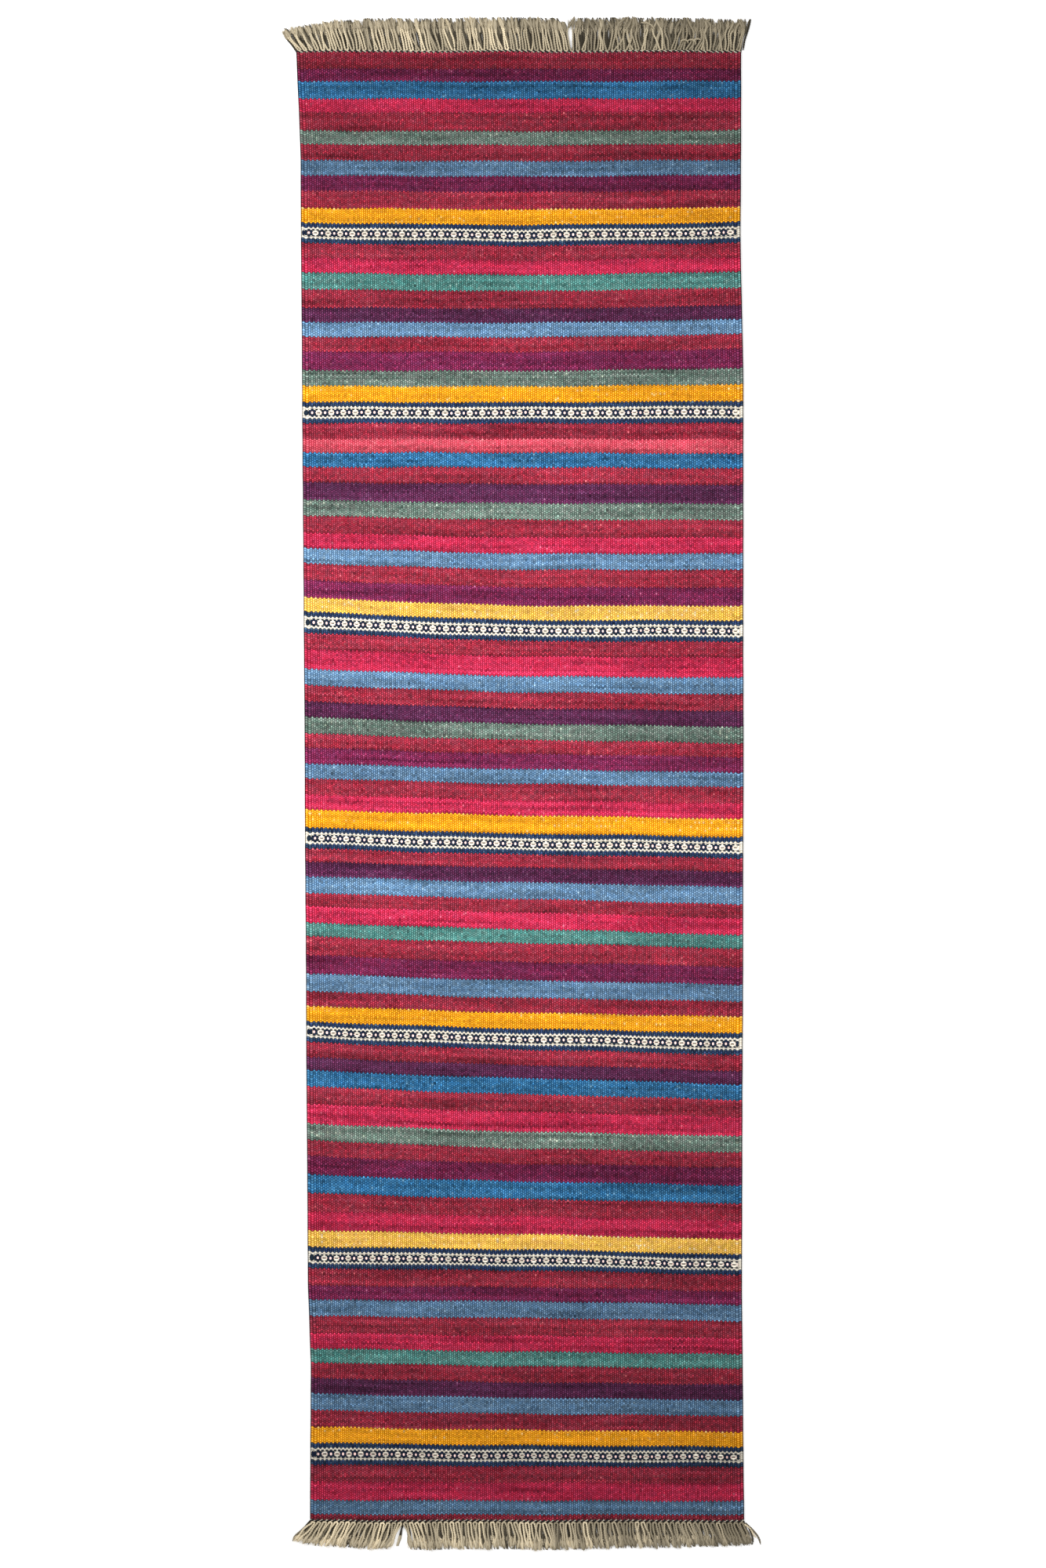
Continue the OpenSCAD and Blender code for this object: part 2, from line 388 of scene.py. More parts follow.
# ---------------------------------------------------------------- woven bands
def rib_lines(left, right):
    """x of every rib's boundary, one row for each pair of side edges."""
    share = np.linspace(0, 1, WARPS + 1)
    uneven = 0.03 * np.sin(2 * math.pi * 3 * share + 1) / 3 + 0.04 * np.sin(2 * math.pi * 7 * share) / 7
    share = share + (uneven - uneven[0] * (1 - share) - uneven[-1] * share) / (2 * math.pi)
    left, right = left[:, None], right[:, None]
    field = left + SELVEDGE + (right - left - 2 * SELVEDGE) * share
    steps = SELVEDGE * np.arange(EDGE_RIBS) / EDGE_RIBS
    return np.hstack([left + steps, field, right - steps[::-1]])


rib_height = dice.normal(0, 0.05 * MM, RIBS)
rib_tone = dice.normal(0, 0.01, RIBS)
odd_even = np.where(np.arange(RIBS) % 2, -1.0, 1.0)


def columns(lines):
    """Splits every rib into cells: x of each mesh column."""
    cells = [lines[:, :-1] + (lines[:, 1:] - lines[:, :-1]) * t / RIB_CELLS for t in range(RIB_CELLS)]
    inner = np.stack(cells, axis=2).reshape(len(lines), -1)
    return np.hstack([inner, lines[:, -1:]])


def on_crests(values):
    """Spreads one value for each rib to the mesh columns, with 0 in the grooves."""
    spread = np.repeat(values[..., None], RIB_CELLS, axis=-1)
    spread[..., 0] = 0
    flat = spread.reshape(*values.shape[:-1], -1)
    return np.concatenate([flat, np.zeros((*flat.shape[:-1], 1))], axis=-1)


def band_grid(upper, lower, lines):
    """x and y of a band's mesh, with a line of points at every gap and every crest of its beads."""
    share = np.linspace(0, 1, lines)
    share[1:-1] += dice.normal(0, 0.05 / lines, lines - 2)
    left = upper[0, 0] * (1 - share) + lower[0, 0] * share
    right = upper[-1, 0] * (1 - share) + lower[-1, 0] * share
    x = columns(rib_lines(left, right))
    top_y, bottom_y = curve_through(upper)(x) - SEAM, curve_through(lower)(x) + SEAM
    return x, top_y * (1 - share[:, None]) + bottom_y * share[:, None]


def band_points(x, y):
    """Points of a band, line by line: along its front, then back along its underside."""
    lines = len(x)
    jitter = dice.normal(0, BEAD_JITTER, (lines, RIBS))
    jitter[[0, -1]] = 0
    gap = np.zeros((lines, 1))
    gap[::2] = DIP
    crest = THICK / 2 - gap + rib_height + dice.normal(0, CREST_JITTER, (lines, RIBS))
    groove = THICK / 2 - GROOVE
    face_height = np.where(on_crests(np.ones(RIBS)) > 0, on_crests(crest), groove)
    face_height[:, [0, -1]] = 0.45 * THICK / 2
    sides = []
    for side in (1, -1):
        offset = on_crests(side * STAGGER * odd_even + jitter)
        sides.append(np.stack([x, y + offset, MID + side * face_height], axis=2))
    return np.concatenate([sides[0], sides[1][:, ::-1]], axis=1).reshape(-1, 3)


def band_map(lines, wide, first_row):
    """The weave map of a band: u counts ribs, and v counts rows of beads down the whole rug."""
    u = np.arange(wide) / RIB_CELLS
    ring_u = np.concatenate([u, (BACK_U + u)[::-1]])
    v = first_row + np.arange(lines) / 2
    return np.stack(np.broadcast_arrays(ring_u[None, :], v[:, None]), axis=2).reshape(-1, 2)


def band_faces(lines, wide):
    """Quads round a band and over its first and last line, and the line and column of each quad round it."""
    line, column = np.meshgrid(np.arange(lines - 1), np.arange(2 * wide), indexing="ij")
    after = (column + 1) % (2 * wide)
    this_line, next_line = line * 2 * wide, (line + 1) * 2 * wide
    quad = [this_line + column, next_line + column, next_line + after, this_line + after]
    body = np.stack(quad, axis=2).reshape(-1, 4)
    c = np.arange(wide - 1)
    start = np.stack([c, c + 1, 2 * wide - 2 - c, 2 * wide - 1 - c], axis=1)
    end = start[:, ::-1] + (lines - 1) * 2 * wide
    return np.concatenate([body, start, end]), line.reshape(-1), column.reshape(-1)


def weave(soup, upper, lower, first_row, slot, dotted=0.0):
    """Adds one band of beads between two edge lines to soup. Returns how many rows of beads it has."""
    height = upper[len(upper) // 2, 1] - lower[len(lower) // 2, 1]
    rows = max(1, round(height / BEAD))
    lines = 2 * rows + 1
    x, y = band_grid(upper, lower, lines)
    wide = x.shape[1]
    points = band_points(x, y)
    faces, line, column = band_faces(lines, wide)

    rib = np.arange(wide) // RIB_CELLS
    rib_of = np.minimum(np.concatenate([rib, rib[::-1]]), RIBS - 1)
    cap_rib = np.minimum(rib[:-1], RIBS - 1)
    bead = (line // 2, rib_of[column], (column >= wide).astype(int))
    tone, fleck = bead_tones(rows, x, y, slot, dotted)
    body_tone = tone[bead]
    # painted shade: the outermost cells at each side edge are darkened
    outermost = np.isin(column, [0, wide - 2, wide - 1, wide, 2 * wide - 2, 2 * wide - 1])
    body_tone[outermost] *= SELVEDGE_PAINTED_SHADE
    # painted shade: the caps where a band meets the next one are darkened
    face_tone = np.concatenate([body_tone, tone[0, cap_rib, 0] * CAP_PAINTED_SHADE, tone[-1, cap_rib, 0] * CAP_PAINTED_SHADE])
    face_fleck = np.concatenate([fleck[bead], fleck[0, cap_rib, 0], fleck[-1, cap_rib, 0]])
    soup.add(points, faces, band_map(lines, wide, first_row), face_tone, face_fleck)
    return rows


TONE_ALONG_SHARE = {"gold_yarn": 0.6, "straw_yarn": 0.6}      # yarns that stay brighter towards the ends


def bead_tones(rows, x, y, slot, dotted):
    """Brightness and fleck of each bead, as arrays of row, rib, and front or back."""
    unevenness, streaky, flecked = YARNS[slot][3:]
    middle = slice(1, None, 2)
    bead_x = x[middle, 1::RIB_CELLS][:rows]
    bead_y = y[middle, 1::RIB_CELLS][:rows]
    base = tone_along_rug(bead_y) ** TONE_ALONG_SHARE.get(slot, 1.0) * (1 - 0.07 * np.clip(bead_x / 0.25 - 0.1, 0, 1))
    tone = np.empty((rows, RIBS, 2))
    fleck = np.zeros((rows, RIBS, 2))
    for side in range(2):
        drift = streaky * streaks(rows, bead_x) + 0.04 * waves(bead_x, bead_y, 8 + side, 0.3)
        spread = unevenness * dice.normal(0, 1, (rows, RIBS))
        tone[:, :, side] = base * np.clip(1 + drift + spread + rib_tone, 0.35, 1.8)
        odds = flecked * (1 + 1.2 * streaks(rows, bead_x)) + dotted_rows(rows, bead_x, dotted)
        hit = dice.random((rows, RIBS)) < odds
        fleck[:, :, side] = hit * dice.uniform(0.15, 0.8, (rows, RIBS)) ** 2
    return tone ** 2.2, fleck


def dotted_rows(rows, x, strength):
    """Rows where every second warp shows light beads, over part of the width."""
    odds = np.zeros(x.shape)
    if strength == 0:
        return odds
    for row in (0, 1, rows // 2):
        usual = 1.0 if row == 0 else 0.4
        over = np.clip(usual + 1.2 * waves(x[row], np.full(len(x[row]), row * 0.37), 60 + row, 0.3, 3), 0, 1)
        odds[row] = strength * over * (np.arange(x.shape[1]) % 2 == row % 2)
    return odds


def slot_of(node):
    """The record's material slot of a CAD node."""
    return next(s["material_slot"] for s in frame["record"]["subparts"] if s["node"] == node)


DOTTED = {"gold_yarn": 0.8, "straw_yarn": 0.6, "madder_yarn": 0.12}
row_count = 0
cloth = {}
for node in cloth_nodes:
    slot = "ivory_yarn" if node.startswith("pattern_figure") else slot_of(node)
    soup = Soup()
    for upper, lower in bands[node]:
        row_count += weave(soup, upper, lower, row_count, slot, DOTTED.get(slot, 0.0)) + 3
    cloth[node] = soup.piece(f"{node}_wool", slot, node)


# ---------------------------------------------------------------- pattern floats
SPOKES = 8                      # corners round a float
SUNK = -0.5 * MM                # how deep a float's underside lies in the cloth


def float_shape(rise):
    """Points of a float as wide and tall as 2: three rings, its top, and its underside."""
    shape = []
    for scale, z in [(1.0, SUNK), (0.98, 0.15 * MM), (0.7, 0.8 * rise)]:
        for a in np.arange(SPOKES) * 2 * math.pi / SPOKES:
            shape.append((scale * math.cos(a), scale * math.sin(a), z))
    return np.array([*shape, (0, 0, rise), (0, 0, SUNK)])


def float_faces():
    """The quads between a float's three rings, and the triangles round its top and its underside."""
    inner, top, under = 2 * SPOKES, 3 * SPOKES, 3 * SPOKES + 1
    quads, fans = [], []
    for k in range(SPOKES):
        after = (k + 1) % SPOKES
        fans.append((inner + k, inner + after, top))
        fans.append((after, k, under))
    for ring in range(2):
        for k in range(SPOKES):
            after = (k + 1) % SPOKES
            a, b = ring * SPOKES, (ring + 1) * SPOKES
            quads.append((a + k, a + after, b + after, b + k))
    return np.array(quads), np.array(fans)


def pillows(soup, x, y, wide, tall, rise, side, tones):
    """Adds rounded floats of yarn that lie on the cloth at each x and y, on the front (1) or back (-1)."""
    shape = float_shape(rise)
    count = len(x)
    points = np.empty((count, len(shape), 3))
    points[:, :, 0] = x[:, None] + shape[:, 0] * wide[:, None] / 2
    points[:, :, 1] = y[:, None] + shape[:, 1] * tall[:, None] / 2
    points[:, :, 2] = MID + side * (THICK / 2 + shape[:, 2])
    uv = np.empty((count, len(shape), 2))
    uv[:, :, 0] = np.arange(count)[:, None] * 2 + 0.5 + 0.42 * shape[:, 0]
    uv[:, :, 1] = FLOAT_V + 0.5 + 0.42 * shape[:, 1]
    for cells in float_faces():
        if side < 0:
            cells = cells[:, ::-1]
        shift = np.arange(count)[:, None, None] * len(shape)
        faces = (cells[None] + shift).reshape(-1, cells.shape[1])
        soup.add(points.reshape(-1, 3), faces, uv.reshape(-1, 2), np.repeat(tones, len(cells)))


SPACER = REPEAT / 2             # ribs from a ring to the middle of the spacer beside it
FIELD_MARGIN = (2.6, 0.9)       # ribs that a float may reach past the first and the last warp
# The floats of one repeat: yarn, ribs and beads from the ring's middle, width in ribs, height in beads
FIGURE = [
    *[("navy", rib, bead, 1.45, 1.7) for rib, bead in RING],
    ("pink", 0, 0, 1.2, 1.6),
    *[("ivory", SPACER, bead, 2.7, 0.85) for bead in (-0.75, 0.75)],
    ("brown", SPACER, 0, 1.3, 0.34),
    *[("pink", SPACER + rib, 0, 1.1, 0.4) for rib in (-1.15, 1.15)],
    *[("navy", SPACER + rib, bead, 1.05, 0.9) for rib in (-1, 1) for bead in (-1.45, 1.45)],
]


def figure_floats():
    """Lists the floats of one patterned band: yarn, rib, beads above the middle, width and height."""
    floats = []
    start = int(dice.integers(0, 2))
    for c in range(start, WARPS + REPEAT, REPEAT):
        floats += [(yarn, c + rib, *rest) for yarn, rib, *rest in FIGURE]
    floats.append(("navy", (start - 3.6) / 2, 0, start + 1.4, 3.0))
    first, last = -FIELD_MARGIN[0], WARPS + FIELD_MARGIN[1]
    return [f for f in floats if first <= f[1] - f[3] / 2 and f[1] + f[3] / 2 <= last]


FLOAT_RISE = {"navy": 0.55 * MM, "pink": 0.8 * MM, "ivory": 0.6 * MM, "brown": 0.5 * MM}
FLOAT_TONE = {"navy": 0.55, "pink": 1.12, "ivory": 0.98, "brown": 1.2}
FLOAT_SLOT = {"navy": "navy_yarn", "pink": "pink_yarn", "ivory": "ivory_yarn", "brown": "dark_twine"}


def figures(node):
    """Makes the floats of one patterned band, one piece for each yarn, on both faces."""
    upper, lower = bands[node][0]
    upper_y, lower_y = curve_through(upper), curve_through(lower)
    floats = figure_floats()
    pieces = []
    for yarn in ("navy", "pink", "ivory", "brown"):
        chosen = np.array([f[1:] for f in floats if f[0] == yarn])
        soup = Soup()
        lines = rib_lines(np.array([upper[0, 0]]), np.array([upper[-1, 0]]))[0]
        x = np.interp(chosen[:, 0] + 0.5, np.arange(-EDGE_RIBS, WARPS + EDGE_RIBS + 1), lines)
        bead = (upper_y(x) - lower_y(x)) / 3
        pitch = (lines[-1] - lines[0]) / (WARPS + 3 * EDGE_RIBS)
        y = (upper_y(x) + lower_y(x)) / 2 + chosen[:, 1] * bead
        for side in (1, -1):
            tones = (FLOAT_TONE[yarn] * tone_along_rug(y) * dice.normal(1, 0.06, len(x))) ** 2.2
            wide = chosen[:, 2] * pitch * dice.normal(1, 0.05, len(x))
            tall = chosen[:, 3] * bead * dice.normal(1, 0.06, len(x))
            pillows(soup, x, y, wide, tall, FLOAT_RISE[yarn], side, tones)
        pieces.append(soup.piece(f"{node}_{yarn}_floats", FLOAT_SLOT[yarn]))
    return pieces


floats_of = {n: figures(n) for n in cloth_nodes if n.startswith("pattern_figure")}


# ---------------------------------------------------------------- tubes
def tube(soup, path, radius, sides=6, tone=1.0, v=0.0):
    """Adds a closed round tube along path, with one radius for each point."""
    path = np.asarray(path, float)
    radius = np.broadcast_to(radius, len(path))
    ahead = np.gradient(path, axis=0)
    ahead /= np.linalg.norm(ahead, axis=1)[:, None] + 1e-12
    across = np.cross(ahead, (0, 0, 1))
    across /= np.linalg.norm(across, axis=1)[:, None] + 1e-12
    over = np.cross(across, ahead)
    turn = np.arange(sides) * 2 * math.pi / sides
    rings = path[:, None] + radius[:, None, None] * (
        np.cos(turn)[None, :, None] * across[:, None] + np.sin(turn)[None, :, None] * over[:, None])
    count = len(path)
    points = np.concatenate([rings.reshape(-1, 3), path[:1], path[-1:]])
    uv = np.full((count * sides + 2, 2), v + 0.5)
    uv[:-2, 0] -= 0.42 * np.tile(np.cos(turn), count)
    j, i = np.meshgrid(np.arange(count - 1), np.arange(sides), indexing="ij")
    after = (i + 1) % sides
    quads = np.stack([j * sides + i, j * sides + after, (j + 1) * sides + after, (j + 1) * sides + i], axis=2)
    k = np.arange(sides)
    k_after = (k + 1) % sides
    start = np.stack([k_after, k, np.full(sides, count * sides)], axis=1)
    end = np.stack([k, k_after, np.full(sides, count * sides + 1 - (count - 1) * sides)], axis=1)
    end = end + (count - 1) * sides
    tone = np.broadcast_to(tone, count)
    base = soup.count
    soup.add(points, quads.reshape(-1, 4), uv, np.repeat(tone[:-1], sides))
    soup.faces.append(np.concatenate([start, end]) + base)
    caps = np.concatenate([start, end])
    soup.uvs.append(uv[caps.reshape(-1)])
    rows = np.zeros((2 * sides, 2))
    rows[:, 0] = np.repeat([tone[0], tone[-1]], sides)
    soup.tones.append(rows)


CORD_STATIONS = 24              # points along each warp and selvedge cord


def cords(node, slot):
    """Round cords along a node's straight-sided ones."""
    soup = Soup()
    for line in solids(node):
        ys = np.unique(line[:, 1].round(5))
        xs = [line[np.abs(line[:, 1] - y) < 1e-4, 0].mean() for y in ys]
        far = np.linspace(ys[0], ys[-1], CORD_STATIONS)
        path = np.column_stack([np.interp(far, ys, xs), far, np.full(CORD_STATIONS, MID)])
        thick = line[:, 2].max() - line[:, 2].min()
        tube(soup, path, thick / 2, 6, tone_along_rug(far) ** 2.2)
    return soup.piece(f"{node}_wool", slot, node)


inner_cords = [cords("warps", "ivory_warp"), cords("selvedge_cords", "ivory_warp")]


# ---------------------------------------------------------------- twined ends
TWINE = {"dark": 1.4, "ivory": 0.9}       # thickness of each strand beside the coil's


def twined(end, side):
    """Two strands twisted round each other along one end of the cloth."""
    edge = CLOTH_TOP if side > 0 else CLOTH_BOTTOM
    edge_at = curve_through(edge)
    radius = 0.85 * MM
    steps = 10
    count = int((edge[-1, 0] - edge[0, 0]) / TWIST_LENGTH * steps)
    x = np.linspace(edge[0, 0] + radius, edge[-1, 0] - radius, count)
    pieces = []
    for k, yarn in enumerate(("dark", "ivory")):
        turn = 2 * math.pi * np.arange(count) / steps + k * math.pi + 0.25 * waves(x, 0 * x, 30, 0.1)
        y = edge_at(x) + side * (1.2 * MM + radius * np.cos(turn))
        z = MID + 0.75 * radius * np.sin(turn)
        soup = Soup()
        tube(soup, np.stack([x, y, z], axis=1), TWINE[yarn] * radius, 8, (0.9 * tone_along_rug(y)) ** 2.2, k * 7)
        pieces.append(soup.piece(f"twining_{yarn}_{end}_wool", f"{yarn}_twine", f"twining_{yarn}_{end}"))
    return pieces


twining = {end: twined(end, side) for end, side in (("top", 1), ("bottom", -1))}


# ---------------------------------------------------------------- fringe
def tassel_ends(solid, side):
    """Middle of a tassel's root and of its tip."""
    out = side * solid[:, 1]
    root, tip = solid[out < out.min() + 1e-4], solid[out > out.max() - 1e-4]
    return root.mean(axis=0)[:2], tip.mean(axis=0)[:2]


def two_ply(soup, path, tone, twist):
    """A strand of two plies twisted round each other, which thins out where it is brushed."""
    run = np.concatenate([[0], np.cumsum(np.linalg.norm(np.diff(path, axis=0), axis=1))])
    ahead = np.gradient(path, axis=0)
    ahead /= np.linalg.norm(ahead, axis=1)[:, None]
    across = np.cross(ahead, (0, 0, 1))
    across /= np.linalg.norm(across, axis=1)[:, None]
    over = np.cross(across, ahead)
    left = np.clip(np.minimum(run, run[-1] - run) / BRUSHED, 0, 1)
    ply = STRAND * 0.32 * np.clip(0.4 + 1.3 * left, 0, 1)
    apart = STRAND * 0.2 * np.clip(0.5 + left, 0, 1)
    for k in range(2):
        turn = 2 * math.pi * run / PLY_TURN + twist + k * math.pi
        offset = np.cos(turn)[:, None] * across + np.sin(turn)[:, None] * over
        tube(soup, path + apart[:, None] * offset, ply, 5, tone, k)


def hairs(soup, start, heading, tone):
    """Brushed fibres that fan out of a strand's last stretch."""
    forward = np.array([math.cos(heading), math.sin(heading)])
    sideways = np.array([-math.sin(heading), math.cos(heading)])
    t = np.linspace(0, 1, 5)
    thick = 0.26 * MM * (1.15 - 0.8 * t)
    for _ in range(HAIRS):
        spread = heading + dice.normal(0, 0.17)
        reach = BRUSHED * dice.uniform(0.5, 1.08)
        angle = spread + dice.normal(0, 0.3) * t
        back = BRUSHED * dice.uniform(0, 0.35)
        foot = start[:2] - forward * back + sideways * dice.normal(0, 0.95 * MM)
        x = foot[0] + np.cumsum(np.cos(angle)) * reach / 5
        y = foot[1] + np.cumsum(np.sin(angle)) * reach / 5
        z = start[2] + dice.normal(0.2, 0.7) * MM + dice.normal(0, 0.5) * MM * t
        path = np.column_stack([x, y, np.clip(z, 0.3 * MM, 4.5 * MM)])
        tube(soup, path, thick, 3, tone * dice.uniform(0.6, 1.35))


def tuft(soup, path, wide, tone):
    """The soft core of a brushed end: it swells, then rounds off."""
    t = np.linspace(0, 1, len(path))
    swell = np.sqrt(np.clip(0.2 + 2.2 * t, 0, 1) * np.clip(1.02 - t ** 4, 0, 1))
    tube(soup, path, wide / 2 * swell, 6, tone)


def strand_path(foot, tip, z, wander, sway):
    """A strand from its foot to its tip, which bows and wanders a little."""
    t = np.linspace(0, 1, 34)
    run = np.array(tip) - np.array(foot)
    normal = np.array([-run[1], run[0]]) / np.linalg.norm(run)
    bow = sway * np.sin(math.pi * t) * np.linalg.norm(run)
    shake = wander * (np.sin(2 * math.pi * (1.3 * t + dice.random())) - 0.3 * np.sin(9 * t)) * t
    flat = np.array(foot) + t[:, None] * run + (bow + shake)[:, None] * normal
    return np.column_stack([flat, z + 0.25 * MM * np.sin(5 * t + dice.uniform(0, 6))])


# Each end's fringe
# parting, push: x where its tassels part, and how far they part
# legs_apart, arch_rise: a loop's two legs, and how high its arch lies over the twining
# step_out: how far a loop's foot stands out from the CAD tassel's
# shade, unruly: x across the rug, and the brightness or the unevenness there
FRINGES = {
    "top": {
        "parting": 0.065,
        "push": 8 * MM,
        "strand_tone": 0.8,
        "brushed_tone": 0.78,
        "legs_apart": 4.0 * MM,
        "arch_rise": -1.0 * MM,
        "step_out": -1.4 * MM,
        "shade": ((-0.3, 0.05, 0.09, 0.3), (1.0, 1.0, 0.83, 0.81)),
        "unruly": ((-0.3, 0.06, 0.1, 0.3), (0.9, 1.0, 2.4, 2.0)),
    },
    "bottom": {
        "parting": -0.1625,
        "push": 9 * MM,
        "strand_tone": 0.86,
        "brushed_tone": 0.95,
        "legs_apart": 4.6 * MM,
        "arch_rise": 1.4 * MM,
        "step_out": -0.1 * MM,
        "shade": ((-0.3, 0, 0.13, 0.3), (0.98, 0.98, 0.8, 0.68)),
        "unruly": ((-0.3, 0.3), (0.9, 0.9)),
    },
}
PARTING_REACH = 0.022           # how far from a parting its push is felt
LOOP_DEPTH = 1.2 * MM           # from a loop's arch to its legs
LOWER_STRANDS = (0.1, 0.45, 0.8)                # strands behind a tassel, darkened with painted shade, in pitches from it
UNDERLAY = (-0.4, -0.2, 0, 0.2, 0.4)            # near-black yarns under it, a painted shadow between the tassels, in pitches from it
# brightness of the underlay's near-black yarns, a painted shadow
UNDERLAY_SHADOW_TONE = 0.05
UNDERLAY_IN = 2.6 * MM          # how far they reach in under the twining
STRAY_RUN = (0.02, -0.021)      # where the stray strand at the lower right corner ends, from its foot


def parting(style, x):
    """Sideways push of a tassel's tip away from the parting of its fringe."""
    away = x - style["parting"]
    return math.copysign(style["push"], away) * math.exp(-(away / PARTING_REACH) ** 2)


def tassel(soup, root, tip, z, tone, brushed_tone, style, unruly):
    """One looped two-ply strand: an arch over the twining, two legs, and two brushed ends."""
    outward = (tip - root) / np.linalg.norm(tip - root)
    heading = math.atan2(outward[1], outward[0])
    along_edge = np.array([1.0, 0.0])
    away = np.array([0.0, math.copysign(1, outward[1])])
    half = style["legs_apart"] / 2
    legs = []
    for way in (-1, 1):
        foot = root + way * half * along_edge + LOOP_DEPTH * away
        end_at = tip + way * (half + dice.normal(0, 1.5 * MM)) * along_edge
        end_at -= outward * dice.uniform(0, 3.5) * MM
        height = z + dice.normal(0, 0.35 * MM)
        leg = strand_path(foot, end_at, height, 1.1 * MM * unruly, dice.normal(0, 0.045 * unruly))
        leg[:, 2] += np.interp(np.arange(len(leg)), (0, 6), (style["arch_rise"], 0))
        legs.append(leg)
    arch = []
    for a in np.linspace(0, math.pi, 9)[1:-1]:
        swing = -math.cos(a) * half * along_edge + (LOOP_DEPTH - math.sin(a) * 0.85 * half) * away
        arch.append((*(root + swing), max(z + style["arch_rise"], STRAND / 2)))
    path = np.concatenate([legs[0][::-1], np.array(arch), legs[1]])
    shade = tone * np.linspace(dice.uniform(0.8, 1), dice.uniform(0.8, 1.2), len(path))
    two_ply(soup, path, shade, dice.uniform(0, 6))
    for leg in legs:
        tuft(soup, leg[-13:], 4.0 * MM, 0.7 * brushed_tone)
        hairs(soup, leg[-10], heading + dice.normal(0, 0.06), brushed_tone)


# Curled strands at the foot of the top fringe: x, how far out, radius, and the arc's start and sweep
CURLS = [
    (0.219, 9 * MM, 5.0 * MM, 3.4, -3.6),
    (0.228, 8 * MM, 6.5 * MM, 2.6, -3.0),
    (0.237, 10 * MM, 5.5 * MM, 0.4, 3.2),
    (0.163, 24 * MM, 16 * MM, 0.3, 1.5),
]
CURL_TASSEL = 60                # the tassel that they lie beside
CURL_HEIGHT = 5.2 * MM


def curls(soup, foot_y, tone):
    """Single strands that lie curled over the rest."""
    for x, out, radius, start, sweep in CURLS:
        angle = start + sweep * np.linspace(0, 1, 22)
        height = CURL_HEIGHT + 0.5 * MM * np.sin(np.linspace(0, math.pi, 22))
        y = foot_y + out + 0.8 * radius * np.sin(angle)
        path = np.column_stack([x + radius * np.cos(angle), y, height])
        two_ply(soup, path, tone, dice.uniform(0, 6))


def painted_shade_strand(soup, foot, tip, pitch, style):
    """A strand behind the loops, darkened with painted shade."""
    if abs(foot[0] - style["parting"]) < pitch:
        return
    lean = dice.normal(pitch / 2, pitch / 1.6) + parting(style, foot[0])
    path = strand_path(foot, tip + np.array([lean, 0]), 1.3 * MM, 1.2 * MM, dice.normal(0, 0.06))
    # painted shade: lower strands are darker, as if the loops over them shade them
    two_ply(soup, path, (dice.uniform(0.25, 0.68) * style["strand_tone"]) ** 2.2, dice.uniform(0, 6))


def painted_shade_under_layer(soup, root, tip, pitch, style):
    """What lies behind one tassel: strands darkened with painted shade, then near-black yarns as painted
    shadow, whose ends are brushed.
    """
    for share in LOWER_STRANDS:
        painted_shade_strand(soup, root + np.array([pitch * share, 0]), tip, pitch, style)
    inward = -math.copysign(UNDERLAY_IN, tip[1] - root[1])
    for share in UNDERLAY:
        foot = root + np.array([pitch * share, inward])
        lean = np.array([dice.normal(0, 1) * MM + 0.8 * parting(style, foot[0]), 0])
        path = strand_path(foot, foot + (tip - root) * 0.95 + lean, 0.8 * MM, 0.8 * MM, 0.0)
        brushed_from = int(24 + 5 * dice.random())
        # painted shadow: a near-black tube that fills the gaps between tassels
        tube(soup, path[:brushed_from:2], 1.15 * MM, 5, UNDERLAY_SHADOW_TONE)
        brushed_tone = (dice.uniform(0.65, 0.95) * style["brushed_tone"]) ** 2.2
        tuft(soup, path[brushed_from - 7:], 3.2 * MM, brushed_tone)


def fringe(end, side):
    """All tassels of one end: looped two-ply strands over a layer of the same wool, darkened with painted
    shade and painted shadow.
    """
    soup, under = Soup(), Soup()
    style = FRINGES[end]
    tassels = sorted(solids(f"fringe_{end}"), key=lambda s: s[:, 0].mean())
    ends = [tassel_ends(solid, side) for solid in tassels]
    ends = [(root + np.array([0, side * style["step_out"]]), tip) for root, tip in ends]
    pitch = np.diff([root[0] for root, tip in ends]).mean()
    pull = dice.normal(0, 1, len(tassels) + 1)
    for k, (root, tip) in enumerate(ends):
        unruly = np.interp(root[0], *style["unruly"])
        lean = unruly ** 1.5 * (pull[k] - 0.4 * pull[k + 1]) * 1.8 * MM + parting(style, root[0])
        tip = root + (tip - root) * dice.normal(1.0, 0.035) + np.array([lean, 0])
        z = (2.2 + 1.1 * dice.random()) * MM
        light = dice.normal(1, 0.09) * np.interp(root[0], *style["shade"])
        tones = [(light * style[part]) ** 2.2 for part in ("strand_tone", "brushed_tone")]
        tassel(soup, root, tip, z, *tones, style, unruly)
    for root, tip in ends:
        painted_shade_under_layer(under, root, tip, pitch, style)
    if end == "top":
        curls(soup, ends[CURL_TASSEL][0][1], (0.84 * style["strand_tone"]) ** 2.2)
    if end == "bottom":
        corner = ends[-1][0]
        stray = strand_path(corner, corner + np.array(STRAY_RUN), 1.5 * MM, MM, 0.1)
        two_ply(soup, stray, 0.8, 0)
    return [
        soup.piece(f"fringe_{end}_strands", "fringe_wool", f"fringe_{end}"),
        under.piece(f"fringe_{end}_painted_shade_under_layer", "fringe_wool"),
    ]


fringes = {end: fringe(end, side) for end, side in (("top", 1), ("bottom", -1))}


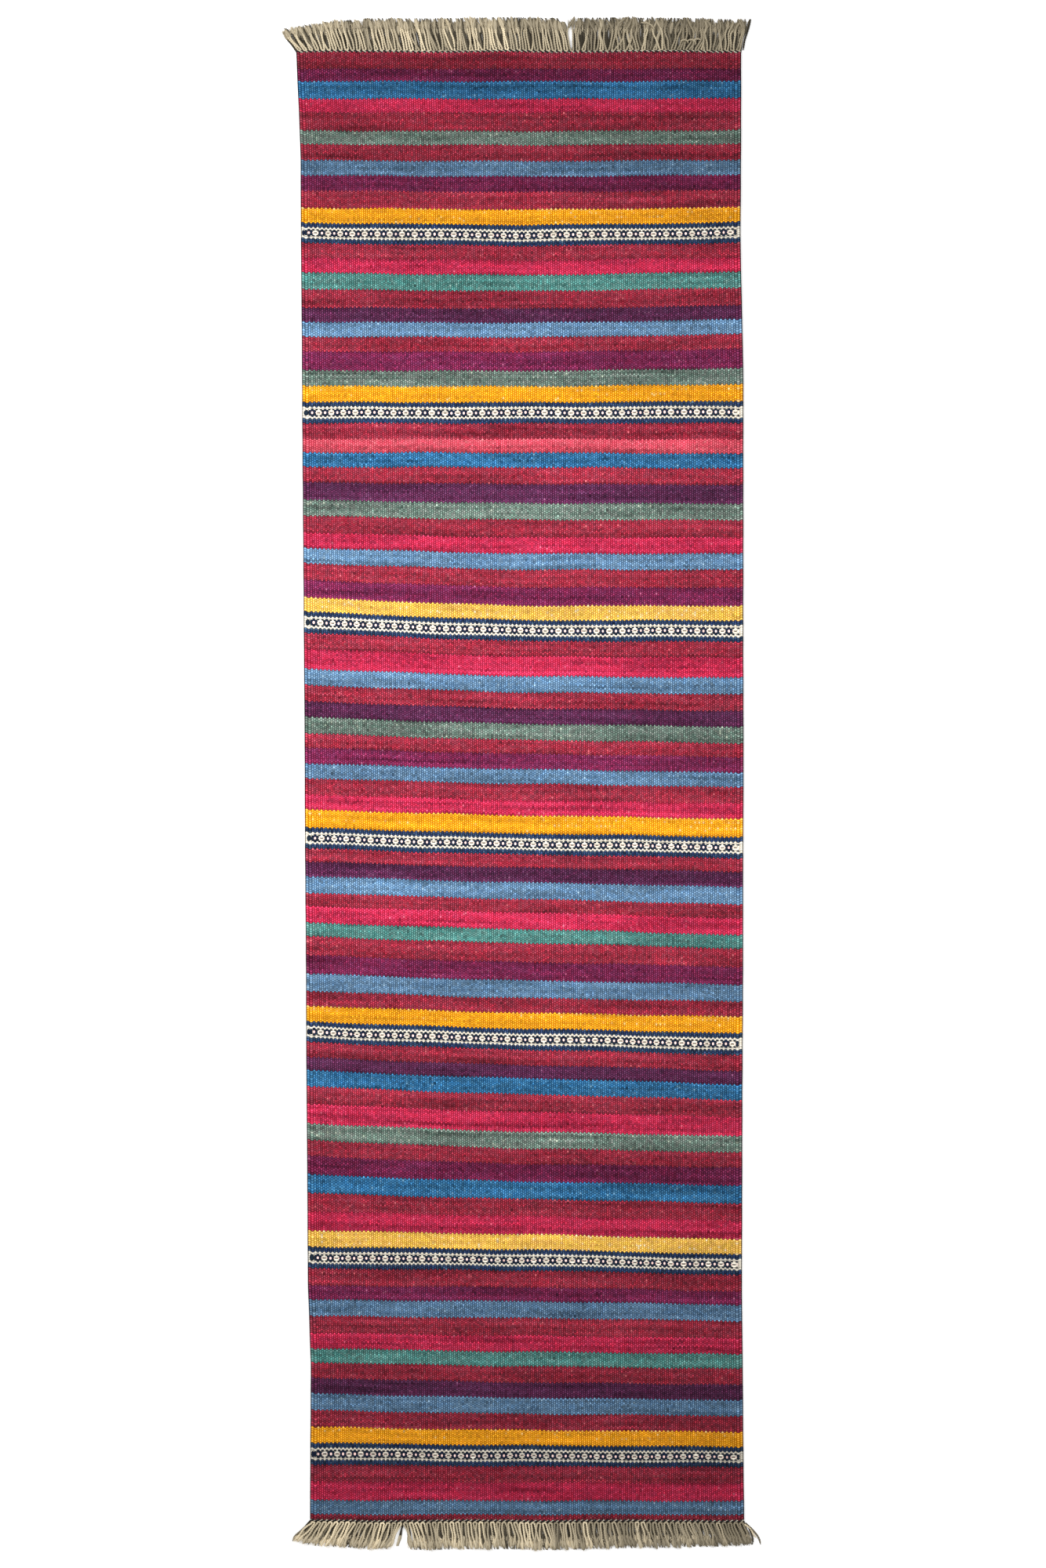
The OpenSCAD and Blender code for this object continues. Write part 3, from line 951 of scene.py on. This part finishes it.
# ---------------------------------------------------------------- sheets
def declare_sheets():
    """Every plain woven piece is a flat sheet of cloth, with narrow trim going with the band beside it: this
    lists that trim and sums each band's height and area, but declares nothing and keeps neither.
    """
    trim = {node: [] for node in cloth}
    for node, pieces in floats_of.items():
        number = node[-1]
        strips = [cloth[f"pattern_{kind}_{number}"] for kind in ("border", "zigzag", "figure")]
        trim[f"gold_weft_{number}"] = [*strips, *pieces]
    trim["madder_weft_1"] = [*inner_cords, *twining["top"], *fringes["top"]]
    trim["madder_weft_8"] = [*twining["bottom"], *fringes["bottom"]]
    for node, piece in cloth.items():
        tall, area = 0.0, 0.0
        for upper, lower in bands[node]:
            x = np.linspace(upper[0, 0], upper[-1, 0], 60)
            gap = curve_through(upper)(x) - curve_through(lower)(x)
            tall += gap.mean()
            area += gap.mean() * (upper[-1, 0] - upper[0, 0])


declare_sheets()


# ---------------------------------------------------------------- studio
def floor():
    """A wide pale floor at the height of the rug's underside."""
    mesh = bpy.data.meshes.new("floor")
    half = 40.0
    corners = [(-half, -half, 0), (half, -half, 0), (half, half, 0), (-half, half, 0)]
    mesh.from_pydata(corners, [], [(0, 1, 2, 3)])
    plane = bpy.data.objects.new("floor", mesh)
    bpy.context.scene.collection.objects.link(plane)
    material = bpy.data.materials.new("studio_floor")
    material.use_nodes = True
    shader = material.node_tree.nodes["Principled BSDF"]
    shader.inputs["Base Color"].default_value = (0.93, 0.93, 0.93, 1)
    shader.inputs["Emission Color"].default_value = (1, 1, 1, 1)
    shader.inputs["Emission Strength"].default_value = 0.25
    shader.inputs["Roughness"].default_value = 0.9
    mesh.materials.append(material)


def lamp(name, place, size, power):
    """A square soft light that faces the rug's middle."""
    data = bpy.data.lights.new(name, "AREA")
    data.shape = "SQUARE"
    data.size = size
    data.energy = power
    light = bpy.data.objects.new(name, data)
    light.location = place
    light.rotation_mode = "QUATERNION"
    light.rotation_quaternion = (-light.location).to_track_quat("-Z", "Y")
    bpy.context.scene.collection.objects.link(light)


def camera():
    """Straight above the rug, with +Y up in the picture."""
    data = bpy.data.cameras.new("camera")
    data.lens = 100
    tall_view = 2.1428              # metres from the lower to the upper edge of the picture
    eye = bpy.data.objects.new("camera", data)
    eye.location = (-0.0011, 0.0027, tall_view * data.lens / data.sensor_width)
    bpy.context.scene.collection.objects.link(eye)
    bpy.context.scene.camera = eye


floor()
lamp("key_light", (-2.2, 2.0, 2.6), 1.8, 110)
lamp("fill_light", (2.4, -1.6, 3.2), 3.0, 60)
camera()
world = bpy.data.worlds.new("studio")
world.use_nodes = True
world.node_tree.nodes["Background"].inputs["Color"].default_value = (1, 1, 1, 1)
world.node_tree.nodes["Background"].inputs["Strength"].default_value = 0.6
bpy.context.scene.world = world
bpy.context.scene.view_settings.view_transform = "Standard"
